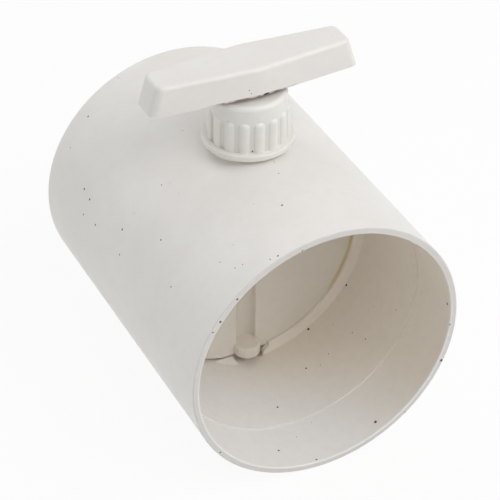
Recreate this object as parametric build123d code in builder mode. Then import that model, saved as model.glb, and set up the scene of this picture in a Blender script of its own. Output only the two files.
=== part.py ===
from build123d import *
import os

# Manual duct damper for 110 mm PVC ventilation pipe.
# A moulded tube with a pipe socket at each end holds a butterfly blade on a vertical
# spindle. The spindle comes out through a threaded neck, where a ribbed cap nut clamps
# it, and carries a T-bar handle that lies along the blade.
# The origin is the centre of the inlet mouth. The duct runs along +Y and the spindle
# points along +Z. The handle lies along X, which is the closed position.

# Tube and pipe sockets
pipe_r = 55.0  # outside radius of the pipe that is pushed in
pipe_clearance = 0.2  # radial play of the pipe in its socket
socket_wall = 2.8
socket_depth = 25.5
pipe_stop = 0.7  # height of the ledge that the pipe's end meets
duct_draft = 0.7  # how much the bore narrows from each ledge to the blade
tube_length = 145.0
rim_round = 0.5

# Seat: a half ring before the right half of the blade and one behind its left half, so
# that the blade closes against both, and a low straight bar on the other side of each hub
seat_height = 3.6
seat_foot = 2.9  # width of a half ring at the wall
seat_crest = 1.4  # width of a half ring at its top
seat_crest_round = 1.1
seat_play = 0.1  # from the seat to the blade's face
seat_hub_gap = 0.7
seat_channel_gap = 1.2  # from the wall round the channel, as it turns, to a half ring
seat_end_slope = 3.6  # length over which the end of a half ring rises
seat_end_height = 1.2
bar_height = 2.35
bar_width = 4.5
bar_reach = 18.0  # from the spindle's axis; it runs into the curved wall before that

# Blade
blade_thickness = 2.6
blade_gap = 1.2  # from the rim to the duct wall
blade_set_back = 0.6  # front face behind the spindle's axis
blade_rim_round = 0.6
channel_r = 4.2  # half-round channel down the front of the blade
channel_set_back = 1.2  # its axis behind the spindle's
channel_wall = 2.6
channel_lip = 0.8
hub_r = 5.75
hub_end_gap = 2.6  # from each end of the hub line to the duct wall
lower_hub_height = 5.8
upper_hub_height = 12.0
hub_round = 1.0
hub_foot_round = 1.8  # under the lower hub

# Pivot pin moulded into the floor of the tube
pivot_r = 1.8
pivot_running = 0.06  # radial clearance of the pin in the lower hub
pivot_roof = 1.2  # plastic left over the end of the pin
pivot_end_gap = 0.3
pivot_tip = 0.6

# Neck for the spindle and the cap nut
neck_floor = 5.4  # from the duct wall to the floor of the cup
neck_cup_r = 10.0
neck_wall = 3.0
neck_height = 16.0  # above the floor of the cup
neck_lead = 1.0
neck_base_r = 15.4
neck_base_top = 1.0  # flat of the saddle above the crown of the tube
neck_base_round = 0.5

# Spindle
journal_r = 5.0
running = 0.06  # radial clearance where the spindle turns in a bore
collar_height = 8.4
stem_r = 6.4
tang_side = 6.4  # square that drives the blade
tang_depth = 9.0
tang_end_gap = 0.3
head_side = 8.4  # square that carries the handle
head_length = 9.4
head_end_gap = 0.3
square_play = 0.05
square_chamfer = 0.5
face_play = 0.08  # between faces that turn on each other

# Washers and seals
thrust_washer_thickness = 1.5
friction_washer_thickness = 2.0
washer_play = 0.3
seal_r = 1.2  # radius of the rubber's round section
seal_play = 0.04
seal_groove = 2.9
seal_pitch = 4.0

# Cap nut
nut_core_r = 15.55
nut_flange_r = 18.5
nut_flange = 2.4
nut_flange_round = 0.4
nut_height = 22.9
nut_seat_gap = 0.3  # under the nut, above the saddle
nut_top_round = 2.0
nut_top_wall = 3.6
nut_thread_play = 0.3
nut_sleeve_wall = 2.6
rib_count = 16
rib_r = 2.9  # each rib is the outer part of an upright round bar
rib_proud = 0.95
rib_rise = 14.0  # above the flange
rib_crown = 2.6
rib_turn = 13.0  # degrees from +X to the first rib

# T-bar handle
handle_gap = 2.1  # over the cap nut
handle_height = 12.2
handle_top_length = 82.5
handle_foot_length = 89.5
handle_end_width = 13.6
handle_mid_width = 21.0
handle_draft = 0.5  # each long side stands out this much more at its foot
handle_mid_round = 30.0
handle_corner_round = 3.4
handle_top_round = 2.0
handle_wall = 2.2
handle_roof = 2.6
handle_boss_wall = 2.4
handle_web = 1.6
handle_web_pitch = 16.5
handle_web_count = 2  # on each side of the boss
handle_web_set_up = 3.0  # the webs stop this far above the foot

# Places worked out from the sizes above
socket_r = pipe_r + pipe_clearance
tube_r = socket_r + socket_wall
ledge_r = socket_r - pipe_stop
duct_r = ledge_r - duct_draft
seat_root_r = tube_r - socket_wall / 2  # the seat is rooted in the middle of the wall

blade_front = (tube_length - blade_thickness) / 2
blade_back = blade_front + blade_thickness
blade_r = duct_r - blade_gap
spindle_y = blade_front - blade_set_back
channel_back_r = channel_r + channel_wall
hub_end = duct_r - hub_end_gap

seat_r = duct_r - seat_height
front_seat_start = hub_r + seat_hub_gap
back_seat_start = channel_set_back + channel_back_r + seat_channel_gap
bar_z = duct_r - bar_height

pivot_bore_end = hub_end - lower_hub_height + pivot_roof
pivot_top = pivot_bore_end + pivot_end_gap

cup_floor_z = duct_r + neck_floor
neck_r = neck_cup_r + neck_wall
neck_top_z = cup_floor_z + neck_height
neck_base_z = tube_r + neck_base_top

collar_r = neck_cup_r - running
collar_z = cup_floor_z + thrust_washer_thickness + face_play
collar_top_z = collar_z + collar_height
friction_washer_z = collar_top_z + face_play
seal_ring_r = neck_cup_r - seal_play - seal_r
seal_heights = [
    collar_z + collar_height / 2 - seal_pitch / 2,
    collar_z + collar_height / 2 + seal_pitch / 2,
]

nut_z = neck_base_z + nut_seat_gap
nut_top_z = nut_z + nut_height
nut_bore_r = neck_r + nut_thread_play
nut_roof_z = nut_top_z - nut_top_wall
nut_hole_r = stem_r + running
nut_sleeve_z = friction_washer_z + friction_washer_thickness

handle_z = nut_top_z + handle_gap
handle_top_z = handle_z + handle_height

spindle_axis = Axis((0, spindle_y, 0), (0, 0, 1))


def level(z):
    """Level plane centred on the spindle."""
    return Plane(origin=(0, spindle_y, z), x_dir=(1, 0, 0), z_dir=(0, 0, 1))


def upright():
    """Plane through the spindle, across the duct: local x is X, local y is Z."""
    return Plane(origin=(0, spindle_y, 0), x_dir=(1, 0, 0), z_dir=(0, -1, 0))


def across(y):
    """Plane across the duct that faces the outlet: local y is Z."""
    return Plane(origin=(0, y, 0), x_dir=(-1, 0, 0), z_dir=(0, 1, 0))


os.makedirs("parts", exist_ok=True)


def seat_face(side):
    """Where the seat meets the blade: before it for side 1, behind it for side -1."""
    return blade_front - seat_play if side > 0 else blade_back + seat_play


def seat_half(side):
    """Half ring: before the blade at +X for side 1, behind it at -X for side -1."""
    face_y = seat_face(side)
    start = front_seat_start if side > 0 else back_seat_start
    full = start + seat_end_slope
    outline = [
        (face_y, seat_root_r),
        (face_y, seat_r),
        (face_y - side * seat_crest, seat_r),
        (face_y - side * seat_foot, duct_r),
        (face_y - side * seat_foot, seat_root_r),
    ]
    with BuildPart() as half:
        with BuildSketch(Plane.YZ) as section:
            with BuildLine():
                Polyline(*outline[::-side], close=True)
            make_face()
            crest = section.vertices().group_by(Axis.Y)[0].sort_by(Axis.X)
            fillet(crest[0] if side > 0 else crest[-1], seat_crest_round)
        revolve(axis=Axis.Y)

        # the ends stop short of the hubs, and slope up to the full height
        with BuildSketch(Plane.XY):
            with Locations((side * (start + tube_r / 2), face_y)):
                Rectangle(tube_r, 3 * seat_foot)
        extrude(amount=tube_r, both=True, mode=Mode.INTERSECT)
        with BuildSketch(upright()):
            with BuildLine():
                Polyline(
                    (0, seat_end_height - duct_r),
                    (side * start, seat_end_height - duct_r),
                    (side * full, -seat_r),
                    (side * full, seat_r),
                    (side * start, duct_r - seat_end_height),
                    (0, duct_r - seat_end_height),
                    close=True,
                )
            make_face()
        extrude(amount=tube_length, both=True, mode=Mode.SUBTRACT)
    return half.part


def seat_bar(side, end):
    """Straight bar beside a hub, sloping away from the blade: end is 1 above, -1 below."""
    face_y = seat_face(side)
    with BuildPart() as bar:
        with BuildSketch(across(face_y)):
            Circle(seat_root_r)
        extrude(amount=-side * bar_width)
        with BuildSketch(Plane.YZ.offset(-side * bar_reach)):
            with BuildLine():
                Polyline(
                    (face_y, end * bar_z),
                    (face_y, end * tube_r),
                    (face_y - side * bar_width, end * tube_r),
                    (face_y - side * bar_width, end * duct_r),
                    close=True,
                )
            make_face()
        extrude(amount=side * bar_reach, mode=Mode.INTERSECT)
        with BuildSketch(level(0)):
            Circle(hub_r + seat_hub_gap)
        extrude(amount=end * tube_r, mode=Mode.SUBTRACT)
    return bar.part


seat_pieces = []
for side in (1, -1):
    seat_pieces += [seat_half(side), seat_bar(side, 1), seat_bar(side, -1)]

# Body: tube, sockets, seat, neck and pivot pin are one moulding
with BuildPart() as body:
    with BuildSketch(across(0)):
        Circle(tube_r)
    extrude(amount=tube_length)

    # saddle and neck on the crown of the tube
    with BuildSketch(level(0)):
        Circle(neck_base_r)
    extrude(amount=neck_base_z)
    fillet(body.faces().sort_by(Axis.Z)[-1].edges(), neck_base_round)
    with BuildSketch(level(0)):
        Circle(neck_r)
    extrude(amount=neck_top_z)
    chamfer(body.faces().sort_by(Axis.Z)[-1].edges(), neck_lead)

    # duct bore with a socket at each end
    with BuildSketch(Plane.YZ):
        with BuildLine():
            Polyline(
                (0, 0),
                (0, socket_r),
                (socket_depth, socket_r),
                (socket_depth, ledge_r),
                (tube_length / 2, duct_r),
                (tube_length - socket_depth, ledge_r),
                (tube_length - socket_depth, socket_r),
                (tube_length, socket_r),
                (tube_length, 0),
                close=True,
            )
        make_face()
    revolve(axis=Axis.Y, mode=Mode.SUBTRACT)
    rims = body.faces().sort_by(Axis.Y)
    fillet(rims[0].edges() + rims[-1].edges(), rim_round)

    # cup and spindle bore in the neck
    with BuildSketch(level(cup_floor_z)):
        Circle(neck_cup_r)
    extrude(amount=neck_height, mode=Mode.SUBTRACT)
    with BuildSketch(level(hub_end)):
        Circle(journal_r + running)
    extrude(amount=cup_floor_z - hub_end, mode=Mode.SUBTRACT)

    add(seat_pieces)

    # pivot pin standing on the floor of the duct
    with BuildSketch(level(-tube_r + socket_wall / 2)):
        Circle(pivot_r)
    extrude(amount=tube_r - socket_wall / 2 - pivot_top)
    pivot_end = body.faces().filter_by(GeomType.PLANE).filter_by_position(
        Axis.Z, -pivot_top - 0.01, -pivot_top + 0.01
    )
    chamfer(pivot_end.edges(), pivot_tip)

body.part.label = "body"
export_step(body.part, "parts/body.step")

# Blade: a disc with a half-round channel down its face and a hub at each end of it
with BuildPart() as blade:
    with BuildSketch(across(blade_front)):
        Circle(blade_r)
    extrude(amount=blade_thickness)
    fillet(blade.edges().filter_by(GeomType.CIRCLE), blade_rim_round)

    # flats on the rim, which pass over the bars of the seat
    with BuildSketch(across(blade_front)):
        with Locations((0, hub_end + hub_end_gap / 2), (0, -hub_end - hub_end_gap / 2)):
            Rectangle(2 * blade_r, hub_end_gap)
    extrude(amount=blade_thickness, mode=Mode.SUBTRACT)

    # half-round wall behind the channel
    with BuildSketch(level(-hub_end)):
        with Locations((0, channel_set_back)):
            Circle(channel_back_r)
        with Locations((0, blade_set_back)):
            Rectangle(
                2 * tube_r, tube_r, align=(Align.CENTER, Align.MAX), mode=Mode.SUBTRACT
            )
    extrude(amount=2 * hub_end)

    # the hubs are turned shapes with rounded rims
    with BuildSketch(upright()) as hub_section:
        with Locations((0, -hub_end)):
            Rectangle(hub_r, lower_hub_height, align=(Align.MIN, Align.MIN))
        with Locations((0, hub_end)):
            Rectangle(hub_r, upper_hub_height, align=(Align.MIN, Align.MAX))
        fillet(hub_section.vertices().group_by(Axis.X)[-1].sort_by(Axis.Y)[1:], hub_round)
        fillet(hub_section.vertices().sort_by(Axis.Y)[:2].sort_by(Axis.X)[-1], hub_foot_round)
    revolve(axis=spindle_axis)

    # channel with rounded lips
    with BuildSketch(level(-hub_end + lower_hub_height)) as channel_section:
        with Locations((0, blade_set_back)):
            Rectangle(4 * channel_r, 4 * channel_r, align=(Align.CENTER, Align.MAX))
        lips_before = channel_section.vertices()
        with Locations((0, channel_set_back)):
            Circle(channel_r)
        fillet(channel_section.vertices() - lips_before, channel_lip)
    extrude(amount=2 * hub_end - lower_hub_height - upper_hub_height, mode=Mode.SUBTRACT)

    # square socket for the spindle and blind bore for the pivot pin
    with BuildSketch(level(hub_end)):
        Rectangle(tang_side + 2 * square_play, tang_side + 2 * square_play)
    extrude(amount=-tang_depth - tang_end_gap, mode=Mode.SUBTRACT)
    with BuildSketch(level(-hub_end)):
        Circle(pivot_r + pivot_running)
    extrude(amount=hub_end - pivot_bore_end, mode=Mode.SUBTRACT)

blade.part.label = "blade"
export_step(blade.part, "parts/blade.step")

# Spindle: journal, grooved collar and stem are turned, with a square at each end
with BuildPart() as spindle:
    with BuildSketch(upright()):
        with BuildLine():
            Polyline(
                (0, hub_end),
                (journal_r, hub_end),
                (journal_r, collar_z),
                (collar_r, collar_z),
                (collar_r, collar_top_z),
                (stem_r, collar_top_z),
                (stem_r, handle_z),
                (0, handle_z),
                close=True,
            )
        make_face()
        with Locations([(seal_ring_r - seal_r - seal_play, z) for z in seal_heights]):
            Rectangle(
                collar_r, seal_groove, align=(Align.MIN, Align.CENTER), mode=Mode.SUBTRACT
            )
    revolve(axis=spindle_axis)
    with BuildSketch(level(hub_end)):
        Rectangle(tang_side, tang_side)
    extrude(amount=-tang_depth)
    chamfer(spindle.faces().sort_by(Axis.Z)[0].edges(), square_chamfer)
    with BuildSketch(level(handle_z)):
        Rectangle(head_side, head_side)
    extrude(amount=head_length)
    chamfer(spindle.faces().sort_by(Axis.Z)[-1].edges(), square_chamfer)

spindle.part.label = "spindle"
export_step(spindle.part, "parts/spindle.step")

# Thrust washer under the collar
with BuildPart() as thrust_washer:
    with BuildSketch(level(cup_floor_z)):
        Circle(neck_cup_r - washer_play)
        Circle(journal_r + washer_play, mode=Mode.SUBTRACT)
    extrude(amount=thrust_washer_thickness)

thrust_washer.part.label = "thrust_washer"
export_step(thrust_washer.part, "parts/thrust_washer.step")

# Friction washer over the collar, pressed down by the cap nut's sleeve
with BuildPart() as friction_washer:
    with BuildSketch(level(friction_washer_z)):
        Circle(neck_cup_r - washer_play)
        Circle(stem_r + washer_play, mode=Mode.SUBTRACT)
    extrude(amount=friction_washer_thickness)

friction_washer.part.label = "friction_washer"
export_step(friction_washer.part, "parts/friction_washer.step")

# Round rubber seals in the two grooves of the collar
for seal_name, seal_z in zip(("lower_o_ring", "upper_o_ring"), seal_heights):
    with BuildPart() as o_ring:
        with BuildSketch(upright()):
            with Locations((seal_ring_r, seal_z)):
                Circle(seal_r)
        revolve(axis=spindle_axis)
    o_ring.part.label = seal_name
    export_step(o_ring.part, "parts/" + seal_name + ".step")

# One grip rib of the cap nut: an upright round bar with a rounded crown
with BuildPart() as grip_rib:
    with BuildSketch(Plane.XY.offset(nut_z + nut_flange / 2)):
        Circle(rib_r)
    extrude(amount=nut_flange / 2 + rib_rise)
    fillet(grip_rib.faces().sort_by(Axis.Z)[-1].edges(), rib_crown)

# Cap nut: flange, ribbed skirt and plain shoulder, with a sleeve inside
with BuildPart() as cap_nut:
    with BuildSketch(level(nut_z)):
        Circle(nut_flange_r)
    extrude(amount=nut_flange)
    fillet(cap_nut.edges().filter_by(GeomType.CIRCLE), nut_flange_round)
    with BuildSketch(level(nut_z)):
        Circle(nut_core_r)
    extrude(amount=nut_height)
    fillet(cap_nut.faces().sort_by(Axis.Z)[-1].edges(), nut_top_round)
    with Locations(level(0)):
        with PolarLocations(nut_core_r + rib_proud - rib_r, rib_count, start_angle=rib_turn):
            add(grip_rib.part)

    # thread space, sleeve and stem hole
    with BuildSketch(upright()):
        with BuildLine():
            Polyline(
                (0, nut_z),
                (nut_bore_r, nut_z),
                (nut_bore_r, nut_roof_z),
                (nut_hole_r + nut_sleeve_wall, nut_roof_z),
                (nut_hole_r + nut_sleeve_wall, nut_sleeve_z),
                (nut_hole_r, nut_sleeve_z),
                (nut_hole_r, nut_top_z),
                (0, nut_top_z),
                close=True,
            )
        make_face()
    revolve(axis=spindle_axis, mode=Mode.SUBTRACT)

cap_nut.part.label = "cap_nut"
export_step(cap_nut.part, "parts/cap_nut.step")


def draw_bar(sketch, foot, inset):
    """Draw the plan of the T-bar, widest over the spindle, in the open sketch."""
    length = handle_foot_length if foot else handle_top_length
    draft = handle_draft if foot else 0.0
    half_length = length / 2 - inset
    half_end = handle_end_width / 2 + draft - inset
    half_middle = handle_mid_width / 2 + draft - inset
    Polygon(
        (-half_length, -half_end),
        (0, -half_middle),
        (half_length, -half_end),
        (half_length, half_end),
        (0, half_middle),
        (-half_length, half_end),
        align=None,
    )
    fillet(sketch.vertices().group_by(Axis.X)[1], handle_mid_round)


# T-bar handle: a drafted bar, hollow underneath, with a boss for the spindle's head
with BuildPart() as handle:
    with BuildSketch(level(handle_z)) as bar_foot:
        draw_bar(bar_foot, True, 0)
        corners = bar_foot.vertices().group_by(Axis.X)
        fillet(corners[0] + corners[-1], handle_corner_round)
    with BuildSketch(level(handle_top_z)) as bar_top:
        draw_bar(bar_top, False, 0)
        corners = bar_top.vertices().group_by(Axis.X)
        fillet(corners[0] + corners[-1], handle_corner_round)
    loft(ruled=True)
    fillet(handle.faces().sort_by(Axis.Z)[-1].edges(), handle_top_round)

    # hollow under the bar
    with BuildSketch(level(handle_z)) as hollow_foot:
        draw_bar(hollow_foot, True, handle_wall)
    with BuildSketch(level(handle_top_z - handle_roof)) as hollow_top:
        draw_bar(hollow_top, False, handle_wall)
    loft(ruled=True, mode=Mode.SUBTRACT)

    # boss and stiffening webs
    with BuildSketch(level(handle_z)):
        Circle(head_side / 2**0.5 + handle_boss_wall)
    extrude(amount=handle_height - handle_roof / 2)
    with BuildSketch(level(handle_z + handle_web_set_up)):
        for step in range(1, handle_web_count + 1):
            web_x = step * handle_web_pitch
            taper = (handle_mid_width - handle_end_width) * web_x / handle_top_length
            with Locations((web_x, 0), (-web_x, 0)):
                Rectangle(handle_web, handle_mid_width - 2 * taper - handle_wall)
    extrude(amount=handle_height - handle_web_set_up - handle_roof / 2)

    # square socket for the spindle's head
    with BuildSketch(level(handle_z)):
        Rectangle(head_side + 2 * square_play, head_side + 2 * square_play)
    extrude(amount=head_length + head_end_gap, mode=Mode.SUBTRACT)

handle.part.label = "handle"
export_step(handle.part, "parts/handle.step")
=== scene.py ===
import bpy
import math
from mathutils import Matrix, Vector


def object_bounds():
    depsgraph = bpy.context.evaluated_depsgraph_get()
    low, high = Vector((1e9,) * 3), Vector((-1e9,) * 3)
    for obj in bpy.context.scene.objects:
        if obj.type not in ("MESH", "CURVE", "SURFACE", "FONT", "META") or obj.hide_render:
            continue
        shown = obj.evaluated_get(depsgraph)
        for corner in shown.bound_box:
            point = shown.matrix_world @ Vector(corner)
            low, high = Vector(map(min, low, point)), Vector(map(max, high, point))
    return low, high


# Manual duct damper: the CAD pieces dressed in moulded PVC, on a pale floor in soft light.
# Lengths are in metres and angles in degrees, except where a comment says millimetres.

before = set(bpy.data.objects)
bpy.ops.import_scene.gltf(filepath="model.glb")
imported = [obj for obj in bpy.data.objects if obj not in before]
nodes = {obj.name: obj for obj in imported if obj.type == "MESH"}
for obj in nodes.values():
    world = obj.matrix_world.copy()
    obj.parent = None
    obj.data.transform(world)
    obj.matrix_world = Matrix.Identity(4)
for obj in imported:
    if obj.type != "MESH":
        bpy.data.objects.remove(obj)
cad_low, cad_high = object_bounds()
scene = bpy.context.scene


# Sizes of the damper that the colours follow

SPINDLE = Vector((0.0, 0.0706, 0.0))  # where the blade's axis crosses the duct's axis
TUBE_RADIUS = 0.058
INLET_Y = 0.0
TUBE_MIDDLE = 0.0725  # along Y, halfway from the inlet to the outlet
SOCKET_RADIUS = 0.0552
SOCKET_DEPTH = 0.0255
PIPE_STOP = 0.0007  # height of the ledge at the end of a socket
DUCT_DRAFT = 0.0007  # how much the bore narrows from a ledge to the blade
DUCT_WALL_MIDDLE = 0.0566  # radius that parts the inside of the tube from the outside
HUB_FOOT = -0.0512
NUT_VALLEY_RADIUS = 0.01555
NUT_RIBS_TOP = 0.0757
HANDLE_FOOT = 0.0843


# Colours


def srgb(red, green, blue):
    """A colour of 0..255 display values as linear RGBA."""
    channels = []
    for value in (red, green, blue):
        v = value / 255
        channels.append(v / 12.92 if v <= 0.04045 else ((v + 0.055) / 1.055) ** 2.4)
    return (*channels, 1.0)


WHITE = (1.0, 1.0, 1.0, 1.0)
PVC_OUTSIDE = srgb(236, 233, 229)
PVC_MOUTH = srgb(235, 234, 233)
# painted warm shade of the inside wall, where it lies in shade and takes bounced light
PVC_WARM_SHADE = srgb(236, 227, 214)
PVC_RIM = srgb(215, 212, 208)
# painted highlight along the inner edge of the rims
PVC_EDGE_HIGHLIGHT = srgb(235, 232, 228)
# painted shade that dims the ledge's highlight, and a warmer copy for its shaded side
PVC_LEDGE = srgb(227, 225, 222)
PVC_LEDGE_SHADED = srgb(227, 218, 206)
# the blade's warm tint is painted warm shade, as deep inside the tube
PVC_BLADE = srgb(234, 227, 216)
PVC_NUT = srgb(234, 232, 227)
# dust and painted shade between the nut's ribs, and a deeper painted shade for its left side
PVC_NUT_DUST_AND_SHADE = srgb(222, 220, 215)
PVC_NUT_DUST_AND_DEEP_SHADE = srgb(210, 202, 194)
PVC_HANDLE = srgb(234, 231, 227)
PVC_SPINDLE = srgb(226, 222, 214)
WASHER_WHITE = srgb(238, 238, 234)
RUBBER_BLACK = srgb(26, 26, 27)
RUBBER_BLOOM = srgb(48, 47, 46)
# dark specks, and a painted shadow in the gap between the handle and the nut
SPECK_AND_SHADOW = srgb(44, 36, 33)
DIRT = srgb(120, 104, 88)
# a pale yellowish line on the blade, along its right edge by the seat
BLADE_LINE_COLOUR = srgb(220, 202, 160)
# brown painted shade along the handle's foot, over the nut
FOOT_SHADE_BROWN = srgb(122, 86, 62)
# brownish painted shade in the gaps round the blade's lower hub
CREVICE_SHADE = srgb(158, 138, 104)
PAPER = srgb(238, 238, 238)
PAPER_LIGHTER = srgb(242, 242, 241)


# Camera, at the photograph's viewing angle

CAMERA_AZIMUTH = -26.671
CAMERA_ELEVATION = 36.863
CAMERA_ROLL = 0.375
CAMERA_DISTANCE = 0.8764
CAMERA_TARGET = Vector((0.00159, 0.07132, 0.00202))
SENSOR_WIDTH = 36.0  # millimetres, as the focal length is
FOCAL_LENGTH = 153.2
CLIP_START = 0.01
CLIP_END = 50.0


def view_axes(azimuth, elevation, roll=0.0):
    """Back, right and up directions of what looks at the damper from a given direction.

    Azimuth 0 is in front of the inlet mouth, and azimuth 90 on the side of +X.
    """
    a, e, r = map(math.radians, (azimuth, elevation, roll))
    back = Vector((math.sin(a) * math.cos(e), -math.cos(a) * math.cos(e), math.sin(e)))
    level_right = Vector((math.cos(a), math.sin(a), 0.0))
    level_up = back.cross(level_right)
    right = level_right * math.cos(r) + level_up * math.sin(r)
    up = level_up * math.cos(r) - level_right * math.sin(r)
    return back, right, up


def aim(obj, target, distance, back, right, up):
    """Put obj behind the target, with its local Z along back, X along right and Y along up."""
    obj.rotation_mode = "QUATERNION"
    matrix = obj.matrix_world.to_3x3()
    for row in range(3):
        matrix[row] = (right[row], up[row], back[row])
    obj.rotation_quaternion = matrix.to_quaternion()
    obj.location = target + back * distance


camera_data = bpy.data.cameras.new("camera")
camera_data.sensor_width = SENSOR_WIDTH
camera_data.lens = FOCAL_LENGTH
camera_data.clip_start = CLIP_START
camera_data.clip_end = CLIP_END
camera = bpy.data.objects.new("camera", camera_data)
scene.collection.objects.link(camera)
camera_axes = view_axes(CAMERA_AZIMUTH, CAMERA_ELEVATION, CAMERA_ROLL)
aim(camera, CAMERA_TARGET, CAMERA_DISTANCE, *camera_axes)
scene.camera = camera


# Node helpers

MIX_FACTOR, MIX_A, MIX_B, MIX_RESULT = 0, 6, 7, 2  # colour sockets of a Mix node


class Nodes:
    """An empty node tree, with short calls that add and link nodes."""

    def __init__(self, tree):
        self.tree = tree
        self.tree.nodes.clear()

    def add(self, kind, inputs=None, **settings):
        """A new node, with each input linked to the given socket or set to the given value."""
        node = self.tree.nodes.new(kind)
        for key, value in settings.items():
            setattr(node, key, value)
        for key, value in (inputs or {}).items():
            if isinstance(value, bpy.types.NodeSocket):
                self.tree.links.new(value, node.inputs[key])
            else:
                node.inputs[key].default_value = value
        return node

    def math(self, operation, first, *others):
        """The operation on the first value alone, or on it and each of the others in turn."""
        if not others:
            return self.add("ShaderNodeMath", {0: first}, operation=operation).outputs[0]
        for other in others:
            node = self.add("ShaderNodeMath", {0: first, 1: other}, operation=operation)
            first = node.outputs[0]
        return first

    def mix(self, factor, a, b):
        """Colour a where factor is 0, colour b where it is 1."""
        sockets = {MIX_FACTOR: factor, MIX_A: a, MIX_B: b}
        return self.add("ShaderNodeMix", sockets, data_type="RGBA").outputs[MIX_RESULT]

    def ramp(self, value, low, high, to_low=0.0, to_high=1.0):
        """value taken from low..high to to_low..to_high, smoothly, and held at the ends."""
        limits = {"From Min": low, "From Max": high, "To Min": to_low, "To Max": to_high}
        node = self.add(
            "ShaderNodeMapRange", {"Value": value, **limits}, interpolation_type="SMOOTHSTEP"
        )
        return node.outputs[0]

    def fade(self, value, low, high, most=1.0):
        """most where value is under low, and smoothly less up to high, where it is 0."""
        return self.ramp(value, low, high, most, 0.0)

    def noise(self, vector, scale, detail=2.0, roughness=0.5):
        """Smooth noise about 0.5, with scale waves to a metre."""
        node = self.add(
            "ShaderNodeTexNoise",
            {"Vector": vector, "Scale": scale, "Detail": detail, "Roughness": roughness},
        )
        return node.outputs[0]

    def object_place(self):
        """Coordinates in the object's own frame, in metres."""
        return self.add("ShaderNodeTexCoord").outputs["Object"]

    def xyz(self, vector):
        """The three coordinates of a vector, each as a socket."""
        return self.add("ShaderNodeSeparateXYZ", {0: vector}).outputs[0:3]

    def distance_from(self, value, middle):
        """How far the value lies from the middle, on either side."""
        return self.math("ABSOLUTE", self.math("SUBTRACT", value, middle))

    def from_axis(self, a, b):
        """Distance from the point with coordinates a and b to the axis where both are 0."""
        squares = self.math("ADD", self.math("MULTIPLY", a, a), self.math("MULTIPLY", b, b))
        return self.math("SQRT", squares)

    def seen_rays(self):
        """1 for rays that show the background: from the camera, reflected or let through."""
        rays = self.add("ShaderNodeLightPath").outputs
        kinds = ("Is Camera Ray", "Is Glossy Ray", "Is Transmission Ray")
        return self.math("MAXIMUM", *(rays[kind] for kind in kinds))


def new_material(name):
    """A material, and its node tree to fill."""
    material = bpy.data.materials.new(name)
    material.use_nodes = True
    return material, Nodes(material.node_tree)


# Specks of dirt in random places

RAGGED_SCALE = 2500.0  # scale of the noise that makes the edges of specks ragged
RAGGED_SHARE = 0.3  # how far it moves a scattered speck's edge, as a share of the radius
SEED_STEPS = (1.0, 1.7, 0.6)  # how far each seed shifts the grid of cells
LEAST_SIZE = 0.45  # the smallest speck's share of the given radius; the largest has 1 more
LEAST_STRENGTH = 0.4  # of the palest speck; the darkest has 1
COARSE_SPECKS = {"cell": 0.0125, "radius": 0.00034, "seed": 1.0}
FINE_SPECKS = {"cell": 0.0060, "radius": 0.00016, "seed": 4.0}
FINE_SHARE = 0.7  # times the share of cells that hold a coarse speck
FINE_STRENGTH = 0.6


def speck_field(n, place, share, cell, radius, seed):
    """1 on dark specks: each cell of a loose grid holds one, in that share of the cells."""
    shift = tuple(seed * step for step in SEED_STEPS)
    shifted = n.add("ShaderNodeVectorMath", {0: place, 1: shift}, operation="ADD")
    voronoi = n.add(
        "ShaderNodeTexVoronoi",
        {"Vector": shifted.outputs[0], "Scale": 1.0 / cell, "Randomness": 1.0},
        feature="F1",
    )
    random = n.add("ShaderNodeSeparateColor", {0: voronoi.outputs["Color"]}).outputs
    picked = n.math("LESS_THAN", random[0], share)
    size = n.math("MULTIPLY", n.math("ADD", random[1], LEAST_SIZE), radius / cell)
    ragged = n.math("MULTIPLY", n.noise(place, RAGGED_SCALE), RAGGED_SHARE * radius / cell)
    inside = n.math("LESS_THAN", n.math("ADD", voronoi.outputs["Distance"], ragged), size)
    varied = n.math("MULTIPLY", random[2], 1.0 - LEAST_STRENGTH)
    strength = n.math("ADD", varied, LEAST_STRENGTH)
    return n.math("MULTIPLY", inside, picked, strength)


def scattered_specks(n, place, share):
    """1 on coarse specks in random places, and less on fine ones."""
    coarse = speck_field(n, place, share, **COARSE_SPECKS)
    fine = speck_field(n, place, share * FINE_SHARE, **FINE_SPECKS)
    return n.math("MAXIMUM", coarse, n.math("MULTIPLY", fine, FINE_STRENGTH))


# Specks of dirt, and one painted shadow, where the photograph shows them, listed in
# millimetres and degrees

MM_PER_METRE = 1000
RAGGED_DEPTH = 0.0001  # how many metres noise moves the edge of a placed speck

# on the tube: angle round it from +X, distance along it, and the speck's radius
OUTSIDE_SPECKS = (
    (158, 107.6, 0.50), (164, 97.6, 0.47), (157, 114.0, 0.50), (135, 137.3, 0.42),
    (112, 1.9, 0.37), (166, 108.9, 0.38), (143, 53.2, 0.38), (154, 78.0, 0.46),
    (98, 25.3, 0.42), (152, 33.5, 0.31), (115, 2.6, 0.27), (163, 73.6, 0.36),
    (129, 73.6, 0.26), (90, 43.9, 0.26), (130, 18.8, 0.21), (124, 9.6, 0.23),
    (127, 11.0, 0.22), (122, 20.8, 0.16), (106, 33.1, 0.14), (126, 62.9, 0.11),
    (145, 76.1, 0.15), (126, 70.7, 0.12), (109, 91.6, 0.20), (150, 135.7, 0.22),
    (88, 51.7, 0.22), (115, 142.5, 0.20),
)
INSIDE_SPECKS = (
    (-62, 4.7, 0.60), (-59, 67.2, 0.57), (-106, 10.9, 0.45), (-93, 1.4, 0.40),
    (-32, 67.4, 0.50), (-93, 36.0, 0.43), (-71, 49.7, 0.40), (-42, 40.2, 0.29),
    (4, 2.8, 0.55), (-59, 49.0, 0.22), (-65, 46.9, 0.19), (-49, 59.3, 0.15),
    (-84, 22.0, 0.17), (-94, 17.0, 0.18), (-4, 22.0, 0.19), (-29, 47.0, 0.13),
)
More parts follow.
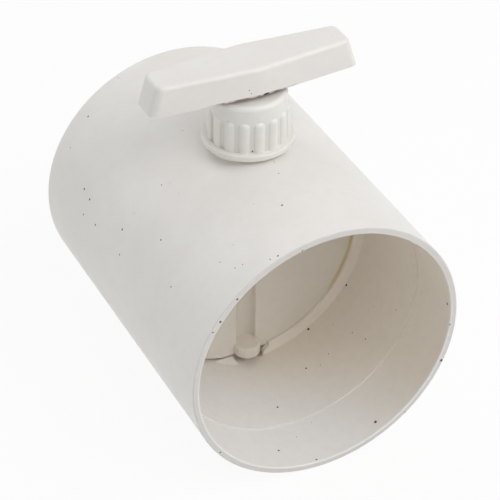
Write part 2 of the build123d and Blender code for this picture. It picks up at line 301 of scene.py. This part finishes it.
# on the inlet's rim: angle from +X, distance from the axis, and the speck's radius
RIM_SPECKS = (
    (145, 56.6, 0.48), (-5, 55.4, 0.33), (134, 56.7, 0.44), (-50, 57.3, 0.29),
    (-23, 57.0, 0.60), (150, 57.1, 0.33), (-145, 56.9, 0.37), (103, 55.8, 0.30),
)
# on the handle and the nut: x, y, z, and the speck's radius; the three at x 1.6 to 3.1 on the
# handle's foot are a painted shadow in the gap over the nut
HANDLE_SPECKS_AND_SHADOW = (
    (-4.7, 60.2, 87.9, 0.24), (-3.9, 60.0, 86.4, 0.20), (1.6, 59.8, 84.3, 0.60),
    (2.3, 59.8, 84.4, 0.70), (3.1, 59.9, 84.5, 0.60), (7.0, 60.2, 84.5, 0.30),
)
NUT_SPECKS = ((-5.3, 56.0, 62.5, 0.34),)


def on_tube(angle, along, radius):
    """The point at an angle round the tube, at a y and at a distance from the axis."""
    a = math.radians(angle)
    return (radius * math.cos(a), along, radius * math.sin(a))


def bore_radius(along):
    """Radius of the bore at a distance from the inlet, up to the blade."""
    if along <= SOCKET_DEPTH:
        return SOCKET_RADIUS
    way_to_blade = (along - SOCKET_DEPTH) / (SPINDLE.y - SOCKET_DEPTH)
    return SOCKET_RADIUS - (PIPE_STOP + DUCT_DRAFT * way_to_blade)


def tube_specks():
    """Place in metres and radius in millimetres of each speck on the tube."""
    specks = [(on_tube(a, y / MM_PER_METRE, TUBE_RADIUS), r) for a, y, r in OUTSIDE_SPECKS]
    specks += [(on_tube(a, INLET_Y, rim / MM_PER_METRE), r) for a, rim, r in RIM_SPECKS]
    for angle, y, r in INSIDE_SPECKS:
        along = y / MM_PER_METRE
        specks.append((on_tube(angle, along, bore_radius(along)), r))
    return specks


def other_specks(listed):
    """Place in metres and radius in millimetres of specks listed by x, y and z."""
    return [(tuple(length / MM_PER_METRE for length in place), r) for *place, r in listed]


def placed_specks(n, place, specks):
    """1 on the given specks, which have ragged edges."""
    ragged = n.math("MULTIPLY", n.noise(place, RAGGED_SCALE), RAGGED_DEPTH)
    found = 0.0
    for centre, r in specks:
        apart = n.add("ShaderNodeVectorMath", {0: place, 1: centre}, operation="DISTANCE")
        edge = n.math("ADD", apart.outputs["Value"], ragged)
        reach = r / MM_PER_METRE + RAGGED_DEPTH / 2
        found = n.math("MAXIMUM", n.math("LESS_THAN", edge, reach), found)
    return found


# Moulded PVC

NOISE_SPREAD = (0.3, 0.7)  # most values of a noise lie in it
MOTTLE_SPREAD = (0.35, 0.75)
CLOUDS_MOST = 0.6  # share of the darker colour where clouds or mottle are strongest
MOTTLE_MOST = 0.35
DARKENING = (0.93, 0.925, 0.915)  # of red, green and blue in the darker colour
SMOOTHEST = -0.05  # added to the roughness where the surface is smoothest
ROUGHEST = 0.07
WAVE_HEIGHT = 0.00012
GRAIN_HEIGHT = 0.00003
BUMP_STRENGTH = 0.6
PVC_IOR = 1.53


def mottle(n, place, most):
    """Spots of about a millimetre, up to the given strength."""
    spots = n.noise(place, scale=260.0, detail=3.0, roughness=0.6)
    return n.ramp(spots, *MOTTLE_SPREAD, to_high=most)


def pvc(name, colour, rough=0.42, specks=0.35, colours=None, placed=()):
    """Moulded PVC: satin, a little cloudy, finely grained, with sparse dark specks.

    specks is the share of cells that hold a scattered speck, colours adds what one piece
    alone has, and placed holds the specks that have their own places on it, and on the handle
    a painted shadow.
    """
    material, n = new_material(name)
    place = n.object_place()

    # cloudy colour, from a palm's width down to a millimetre
    darker = (*(channel * share for channel, share in zip(colour, DARKENING)), 1.0)
    clouds = n.noise(place, scale=22.0, detail=4.0, roughness=0.55)
    base = n.mix(n.ramp(clouds, *NOISE_SPREAD, to_high=CLOUDS_MOST), colour, darker)
    base = n.mix(mottle(n, place, MOTTLE_MOST), base, darker)
    if colours:
        base = colours(n, place, base)

    spots = scattered_specks(n, place, specks)
    if placed:
        spots = n.math("MAXIMUM", spots, placed_specks(n, place, placed))
    base = n.mix(spots, base, SPECK_AND_SHADOW)

    # the surface: uneven sheen, slight waves of the moulding and a fine grain
    sheen = n.noise(place, scale=90.0, detail=3.0)
    roughness = n.ramp(sheen, *NOISE_SPREAD, rough + SMOOTHEST, rough + ROUGHEST)
    waves = n.math("MULTIPLY", n.noise(place, scale=55.0), WAVE_HEIGHT)
    grain = n.math("MULTIPLY", n.noise(place, scale=1700.0), GRAIN_HEIGHT)
    bump = n.add(
        "ShaderNodeBump",
        {"Height": n.math("ADD", waves, grain), "Distance": 1.0, "Strength": BUMP_STRENGTH},
    )

    shader = n.add(
        "ShaderNodeBsdfPrincipled",
        {
            "Base Color": base,
            "Roughness": roughness,
            "Normal": bump.outputs[0],
            "IOR": PVC_IOR,
        },
    )
    n.add("ShaderNodeOutputMaterial", {"Surface": shader.outputs[0]})
    return material


# What the tube alone has. Each pair of limits holds where a tint begins and where it ends.

WARM_SHADE_FROM_DEPTH = 0.020  # depth in the duct adds no painted warm shade up to here
WARM_SHADE_BY_X = 15.7  # painted warm shade added by each metre to the right, up and deeper in
WARM_SHADE_BY_Z = 9.1
WARM_SHADE_BY_DEPTH = 16.0
WARM_SHADE_LIMITS = (-0.35, 0.55)
INSIDE_DIRT_MOST = 0.04
INSIDE_RADII = (DUCT_WALL_MIDDLE - 0.0012, DUCT_WALL_MIDDLE + 0.0008)
RIM_LIMITS = (TUBE_MIDDLE - 0.0005, TUBE_MIDDLE - 0.0002)  # from the middle of the tube
RIM_SHARE = 0.95
EDGE_LIMITS = (TUBE_MIDDLE - 0.0014, TUBE_MIDDLE - 0.0008)  # from the middle of the tube
EDGE_RADII = (SOCKET_RADIUS + 0.0005, SOCKET_RADIUS + 0.0009)
EDGE_HEIGHTS = (-0.02, 0.03)
EDGE_LEAST = 0.3  # how strong the painted highlight on the rim's inner edge still is above those heights
LEDGE_REACH = 0.0001
GAP_RADII = (0.0064, 0.0078)  # from the spindle's axis
GAP_TOP = -0.04
GAP_X = (0.0035, 0.0050)
GAP_Y = (0.0674, 0.0686)
GAP_SHADE_SHARE = 0.7


def tube_colours(n, place, base):
    """The tube: painted warm shade deep inside and up its side, with grey rims and faint
    ledges.

    There is brownish painted shade in the gap between the lower hub and the half ring on its
    right.
    """
    x, y, z = n.xyz(place)
    radius = n.from_axis(x, z)
    from_middle = n.distance_from(y, TUBE_MIDDLE)

    # painted warm shade: the inside turns warmer deep in and up its right side, where it lies
    # in shade
    past_mouth = n.math("SUBTRACT", TUBE_MIDDLE - WARM_SHADE_FROM_DEPTH, from_middle)
    warm_shade_sum = n.math(
        "ADD",
        n.math("MULTIPLY", x, WARM_SHADE_BY_X),
        n.math("MULTIPLY", z, WARM_SHADE_BY_Z),
        n.math("MULTIPLY", n.math("MAXIMUM", past_mouth, 0.0), WARM_SHADE_BY_DEPTH),
    )
    warm_shade = n.ramp(warm_shade_sum, *WARM_SHADE_LIMITS)
    inside = n.mix(warm_shade, PVC_MOUTH, PVC_WARM_SHADE)
    inside = n.mix(mottle(n, place, INSIDE_DIRT_MOST), inside, DIRT)
    base = n.mix(n.fade(radius, *INSIDE_RADII), base, inside)

    # the rims are painted a darker grey, with a painted highlight along the inner edge,
    # strongest low down
    on_rim = n.math("MULTIPLY", n.ramp(from_middle, *RIM_LIMITS), RIM_SHARE)
    base = n.mix(on_rim, base, PVC_RIM)
    edge = n.math(
        "MULTIPLY",
        n.fade(radius, *EDGE_RADII),
        n.ramp(from_middle, *EDGE_LIMITS),
        n.ramp(z, *EDGE_HEIGHTS, 1.0, EDGE_LEAST),
    )
    base = n.mix(edge, base, PVC_EDGE_HIGHLIGHT)

    # the ledges are painted a little darker than the wall, which dims their highlight, and
    # warmer and darker with painted shade where the wall has painted warm shade
    from_ledge = n.distance_from(from_middle, TUBE_MIDDLE - SOCKET_DEPTH)
    in_bore = n.math("LESS_THAN", radius, SOCKET_RADIUS)
    on_ledge = n.math("MULTIPLY", n.fade(from_ledge, 0.0, LEDGE_REACH), in_bore)
    base = n.mix(on_ledge, base, n.mix(warm_shade, PVC_LEDGE, PVC_LEDGE_SHADED))

    # brownish painted shade on the floor of the duct in the gap beside the lower hub
    from_spindle = n.from_axis(x, n.math("SUBTRACT", y, SPINDLE.y))
    in_gap = n.math(
        "MULTIPLY",
        n.fade(from_spindle, *GAP_RADII, GAP_SHADE_SHARE),
        n.math("LESS_THAN", z, GAP_TOP),
        n.math("MULTIPLY", n.ramp(x, *GAP_X), n.ramp(y, *GAP_Y)),
    )
    return n.mix(in_gap, base, CREVICE_SHADE)


# What the blade alone has

BLADE_LINE_RADIUS = 0.0498
BLADE_LINE_REACH = (0.0009, 0.0016)
BLADE_LINE_WANDER = 0.0005
BLADE_LINE_X = (0.030, 0.042)
BLADE_LINE_Z = (-0.036, -0.024)
HUB_SHADE_HEIGHTS = (HUB_FOOT + 0.0002, HUB_FOOT + 0.0009)
HUB_SHADE_SHARE = 0.8


def blade_colours(n, place, base):
    """The blade: a pale yellowish line along its right edge, by the seat, and brownish painted
    shade under its hub.
    """
    x, _, z = n.xyz(place)
    # a pale yellowish line along the blade's right edge, by the seat
    from_blade_line = n.distance_from(n.from_axis(x, z), BLADE_LINE_RADIUS)
    wander = n.math("MULTIPLY", n.noise(place, scale=90.0, detail=3.0), BLADE_LINE_WANDER)
    on_blade_line = n.fade(n.math("ADD", from_blade_line, wander), *BLADE_LINE_REACH)
    on_right = n.math("MULTIPLY", n.ramp(x, *BLADE_LINE_X), n.ramp(z, *BLADE_LINE_Z))
    base = n.mix(n.math("MULTIPLY", on_blade_line, on_right), base, BLADE_LINE_COLOUR)
    # brownish painted shade round the foot of the lower hub
    return n.mix(n.fade(z, *HUB_SHADE_HEIGHTS, HUB_SHADE_SHARE), base, CREVICE_SHADE)


# What the nut alone has

VALLEY_RADII = (NUT_VALLEY_RADIUS + 0.0001, NUT_VALLEY_RADIUS + 0.0005)
VALLEY_SHADE_HEIGHTS = (NUT_RIBS_TOP - 0.004, NUT_RIBS_TOP)
DEEP_SHADE_X = (-0.0158, -0.0135)


def nut_colours(n, place, base):
    """The nut: dust and painted shade between its ribs, with deeper painted shade on its left,
    away from the light.
    """
    x, y, z = n.xyz(place)
    from_spindle = n.from_axis(x, n.math("SUBTRACT", y, SPINDLE.y))
    between = n.math("MULTIPLY", n.fade(from_spindle, *VALLEY_RADII), n.fade(z, *VALLEY_SHADE_HEIGHTS))
    dust_and_shade = n.mix(n.fade(x, *DEEP_SHADE_X), PVC_NUT_DUST_AND_SHADE, PVC_NUT_DUST_AND_DEEP_SHADE)
    return n.mix(between, base, dust_and_shade)


# What the handle alone has

FOOT_HEIGHTS = (HANDLE_FOOT + 0.0003, HANDLE_FOOT + 0.0008)
FOOT_SHADE_MIDDLE_X = -0.003
FOOT_SHADE_REACH = (0.012, 0.022)
PATCH_SPREAD = (0.35, 0.6)
PATCH_LEAST = 0.3
PATCH_MOST = 0.9


def handle_colours(n, place, base):
    """The handle: a brown line of painted shade along its foot, where it sits over the nut."""
    x, _, z = n.xyz(place)
    at_foot = n.fade(z, *FOOT_HEIGHTS)
    over_nut = n.fade(n.distance_from(x, FOOT_SHADE_MIDDLE_X), *FOOT_SHADE_REACH)
    patchy = n.ramp(n.noise(place, scale=300.0), *PATCH_SPREAD, PATCH_LEAST, PATCH_MOST)
    return n.mix(n.math("MULTIPLY", at_foot, over_nut, patchy), base, FOOT_SHADE_BROWN)


# Black rubber

BLOOM_SPREAD = (0.4, 0.7)
RUBBER_ROUGHNESS = (0.5, 0.7)
BLOOM_HEIGHT = 0.00005
BLOOM_STRENGTH = 0.5


def rubber(name):
    """Black rubber with a faint bloom."""
    material, n = new_material(name)
    bloom = n.noise(n.object_place(), scale=600.0, detail=3.0)
    bump = n.add(
        "ShaderNodeBump",
        {"Height": bloom, "Distance": BLOOM_HEIGHT, "Strength": BLOOM_STRENGTH},
    )
    shader = n.add(
        "ShaderNodeBsdfPrincipled",
        {
            "Base Color": n.mix(n.ramp(bloom, *BLOOM_SPREAD), RUBBER_BLACK, RUBBER_BLOOM),
            "Roughness": n.ramp(bloom, *NOISE_SPREAD, *RUBBER_ROUGHNESS),
            "Normal": bump.outputs[0],
        },
    )
    n.add("ShaderNodeOutputMaterial", {"Surface": shader.outputs[0]})
    return material


# Materials on the CAD pieces


def dress(node, material):
    """Give a CAD node's object one material."""
    slots = nodes[node].data.materials
    for i in range(len(slots)):
        slots[i] = material
    if not len(slots):
        slots.append(material)


body_pvc = pvc("body_pvc", PVC_OUTSIDE, specks=0.2, colours=tube_colours, placed=tube_specks())
blade_pvc = pvc("blade_pvc", PVC_BLADE, rough=0.5, specks=0.05, colours=blade_colours)
nut_pvc = pvc(
    "nut_pvc", PVC_NUT, rough=0.36, specks=0.15,
    colours=nut_colours, placed=other_specks(NUT_SPECKS),
)
handle_pvc = pvc(
    "handle_pvc", PVC_HANDLE, rough=0.38, specks=0.08,
    colours=handle_colours, placed=other_specks(HANDLE_SPECKS_AND_SHADOW),
)
spindle_pvc = pvc("spindle_pvc", PVC_SPINDLE, specks=0.1)
washer_plastic = pvc("washer_plastic", WASHER_WHITE, rough=0.3, specks=0.05)
seal_rubber = rubber("seal_rubber")

dress("body", body_pvc)
dress("blade", blade_pvc)
dress("cap_nut", nut_pvc)
dress("handle", handle_pvc)
dress("spindle", spindle_pvc)
dress("thrust_washer", washer_plastic)
dress("friction_washer", washer_plastic)
dress("lower_o_ring", seal_rubber)
dress("upper_o_ring", seal_rubber)


# Floor

FLOOR_Z = cad_low.z
FLOOR_HALF = 6.0
FLOOR_CORNERS = ((-1, -1), (1, -1), (1, 1), (-1, 1))
FLOOR_SHOWN_WHITE = 0.92  # share of the floor's look that is plain white

floor_mesh = bpy.data.meshes.new("floor")
floor_mesh.from_pydata(
    [(x * FLOOR_HALF, y * FLOOR_HALF, FLOOR_Z) for x, y in FLOOR_CORNERS],
    [],
    [tuple(range(len(FLOOR_CORNERS)))],
)
floor = bpy.data.objects.new("floor", floor_mesh)
scene.collection.objects.link(floor)

floor_white, floor_nodes = new_material("floor_white")
paper = floor_nodes.noise(floor_nodes.object_place(), scale=14.0, detail=3.0)
paper_colour = floor_nodes.mix(paper, PAPER, PAPER_LIGHTER)
matt = floor_nodes.add("ShaderNodeBsdfDiffuse", {"Color": paper_colour})
plain = floor_nodes.add("ShaderNodeEmission", {"Color": WHITE, "Strength": 1.0})
share = floor_nodes.math("MULTIPLY", floor_nodes.seen_rays(), FLOOR_SHOWN_WHITE)
mixed = floor_nodes.add(
    "ShaderNodeMixShader", {0: share, 1: matt.outputs[0], 2: plain.outputs[0]}
)
floor_nodes.add("ShaderNodeOutputMaterial", {"Surface": mixed.outputs[0]})
floor_mesh.materials.append(floor_white)


# Lamps: most of the light comes from the front right, with weaker lamps all round

LAMP_SIZE = 1.1
LAMP_DISTANCE = 1.7
LAMPS = (  # name, azimuth, elevation and power in watts
    ("key", 45.0, 45.0, 10.5),
    ("front", 10.0, 45.0, 7.4),
    ("right", 85.0, 45.0, 4.3),
    ("back_left_low", -150.0, 15.0, 4.2),
    ("back", -165.0, 45.0, 4.1),
    ("front_left_low", -60.0, 15.0, 2.9),
    ("left_low", -100.0, 15.0, 2.3),
    ("back_left_high", -150.0, 72.0, 1.8),
    ("back_right", 130.0, 45.0, 0.9),
)

for name, azimuth, elevation, power in LAMPS:
    light = bpy.data.lights.new(name, "AREA")
    light.shape = "SQUARE"
    light.size = LAMP_SIZE
    light.energy = power
    lamp = bpy.data.objects.new(name, light)
    scene.collection.objects.link(lamp)
    aim(lamp, SPINDLE, LAMP_DISTANCE, *view_axes(azimuth, elevation))


# World: white to look at and to reflect, and dim as a light

WORLD_LIGHT = 0.2

world = bpy.data.worlds.new("world")
scene.world = world
world.use_nodes = True
world_nodes = Nodes(world.node_tree)
world_strength = world_nodes.math("MAXIMUM", world_nodes.seen_rays(), WORLD_LIGHT)
background = world_nodes.add(
    "ShaderNodeBackground", {"Color": WHITE, "Strength": world_strength}
)
world_nodes.add("ShaderNodeOutputWorld", {"Surface": background.outputs[0]})

scene.view_settings.view_transform = "Standard"
